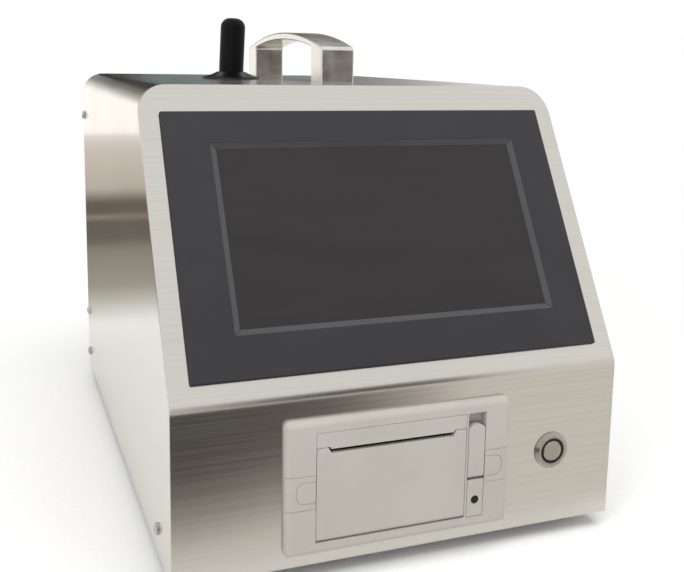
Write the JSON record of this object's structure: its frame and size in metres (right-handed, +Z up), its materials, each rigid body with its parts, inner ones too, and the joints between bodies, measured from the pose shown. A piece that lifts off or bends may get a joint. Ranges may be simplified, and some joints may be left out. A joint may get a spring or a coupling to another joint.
{
  "type": "airborne particle counter",
  "caption": "Benchtop instrument in a folded steel housing with a sloped touch screen, panel printer, power button, bow handle and a capped air inlet on top.",
  "frame": {"origin": "middle of the footprint, on the surface that the rubber feet stand on", "axes": "+Z up, +Y from the front with the screen and printer towards the rear panel, +X to the right as seen from the front"},
  "size_m": [0.2238, 0.327, 0.2547],
  "materials": {
    "brushed_stainless": "brushed stainless sheet",
    "bare_stainless": "plain stainless sheet inside",
    "steel_fasteners": "bright plated screws and nuts",
    "foot_rubber": "moulded black rubber",
    "handle_aluminium": "satin extruded aluminium",
    "inlet_metal": "dark anodised turned metal",
    "cap_rubber": "matt black soft rubber",
    "bezel_plastic": "dark grey moulded plastic",
    "display_glass": "dark touch panel, switched off",
    "dark_foam": "black closed-cell foam",
    "case_plastic": "dark moulded plastic",
    "printer_plastic": "warm light grey moulded plastic",
    "platen_rubber": "ground black rubber",
    "ceramic_head": "thermal head",
    "gear_plastic": "white acetal",
    "lamp_lens": "unlit lamp lens",
    "button_steel": "turned stainless",
    "ring_black": "unlit black light ring",
    "black_plastic": "black moulded plastic",
    "contact_brass": "plated contacts",
    "port_metal": "plated shell",
    "sensor_aluminium": "black anodised aluminium block",
    "hose_silicone": "translucent silicone",
    "circuit_board": "green circuit board",
    "supply_case": "folded case",
    "battery_wrap": "blue shrink wrap",
    "filter_case": "white capsule"
  },
  "bodies": {
    "housing": {"wrap_cover": "brushed_stainless", "front_fascia": "brushed_stainless", "base_tray": "bare_stainless", "rear_panel": "brushed_stainless", "cover_screws": "steel_fasteners", "rubber_feet": "foot_rubber", "foot_screws": "steel_fasteners", "carry_handle": "handle_aluminium", "handle_screws": "steel_fasteners", "inlet_fitting": "inlet_metal", "inlet_nut": "steel_fasteners", "screen_bezel": "bezel_plastic", "screen_gasket": "dark_foam", "display_glass": "display_glass", "screen_case": "case_plastic", "screen_clamps": "steel_fasteners", "printer_frame": "printer_plastic", "printer_exit_bar": "printer_plastic", "printer_cover_left": "printer_plastic", "printer_cover_right": "printer_plastic", "printer_screws": "steel_fasteners", "printer_pins": "steel_fasteners", "print_head": "ceramic_head", "head_bracket": "bare_stainless", "printer_drive": "black_plastic", "button_body": "button_steel", "button_ring": "ring_black", "button_nut": "steel_fasteners", "fan_frame": "black_plastic", "rear_screws": "steel_fasteners", "power_inlet": "black_plastic", "power_contacts": "contact_brass", "data_port": "port_metal", "sensor_block": "sensor_aluminium", "laser_module": "sensor_aluminium", "detector_board": "circuit_board", "sensor_bracket": "bare_stainless", "sample_hose": "hose_silicone", "suction_hose": "hose_silicone", "blower_housing": "black_plastic", "blower_lid": "black_plastic", "blower_motor": "supply_case", "exhaust_filter": "filter_case", "main_board": "circuit_board", "board_posts": "steel_fasteners", "power_supply": "supply_case", "battery_pack": "battery_wrap"},
    "inlet_cap": {"inlet_cap": "cap_rubber"},
    "printer_door": {"printer_door": "printer_plastic"},
    "platen": {"platen_roller": "platen_rubber", "platen_shaft": "steel_fasteners", "platen_gear": "gear_plastic"},
    "door_lever": {"door_lever": "printer_plastic"},
    "feed_key": {"feed_key": "printer_plastic", "feed_lamp": "lamp_lens"},
    "power_button": {"power_button": "button_steel"},
    "mains_rocker": {"rocker_switch": "black_plastic"},
    "fuse_drawer": {"fuse_drawer": "black_plastic"},
    "fan_rotor": {"fan_rotor": "black_plastic"},
    "impeller": {"blower_impeller": "black_plastic"}
  },
  "joints": [
    {"name": "cap_pull", "type": "slide", "parent": "housing", "child": "inlet_cap", "axis": [0, 0, 1], "range_m": [0, 0.04]},
    {"name": "door_hinge", "type": "hinge", "parent": "housing", "child": "printer_door", "pos_m": [-0.0101, -0.1613, 0.0223], "axis": [1, 0, 0], "range_deg": [0, 85]},
    {"name": "platen_spin", "type": "hinge", "parent": "printer_door", "child": "platen", "pos_m": [-0.01005, -0.1525, 0.0575], "axis": [1, 0, 0], "continuous": true},
    {"name": "lever_pull", "type": "hinge", "parent": "housing", "child": "door_lever", "pos_m": [0.03215, -0.1613, 0.041], "axis": [1, 0, 0], "range_deg": [0, 35], "stiffness_Nm_per_rad": 0.02, "springref_deg": -5.73},
    {"name": "feed_press", "type": "slide", "parent": "housing", "child": "feed_key", "axis": [0, 1, 0], "range_m": [0, 0.0008], "stiffness_N_per_m": 600},
    {"name": "button_press", "type": "slide", "parent": "housing", "child": "power_button", "axis": [0, 1, 0], "range_m": [0, 0.0015], "stiffness_N_per_m": 1200},
    {"name": "rocker_tilt", "type": "hinge", "parent": "housing", "child": "mains_rocker", "pos_m": [-0.062, 0.1575, 0.077], "axis": [1, 0, 0], "range_deg": [-20, 0]},
    {"name": "fuse_pull", "type": "slide", "parent": "housing", "child": "fuse_drawer", "axis": [0, 1, 0], "range_m": [0, 0.018]},
    {"name": "fan_spin", "type": "hinge", "parent": "housing", "child": "fan_rotor", "pos_m": [0.055, 0.1495, 0.128], "axis": [0, 1, 0], "continuous": true},
    {"name": "impeller_spin", "type": "hinge", "parent": "housing", "child": "impeller", "pos_m": [-0.0342, 0.0365, 0.038], "axis": [0, 0, 1], "continuous": true}
  ]
}
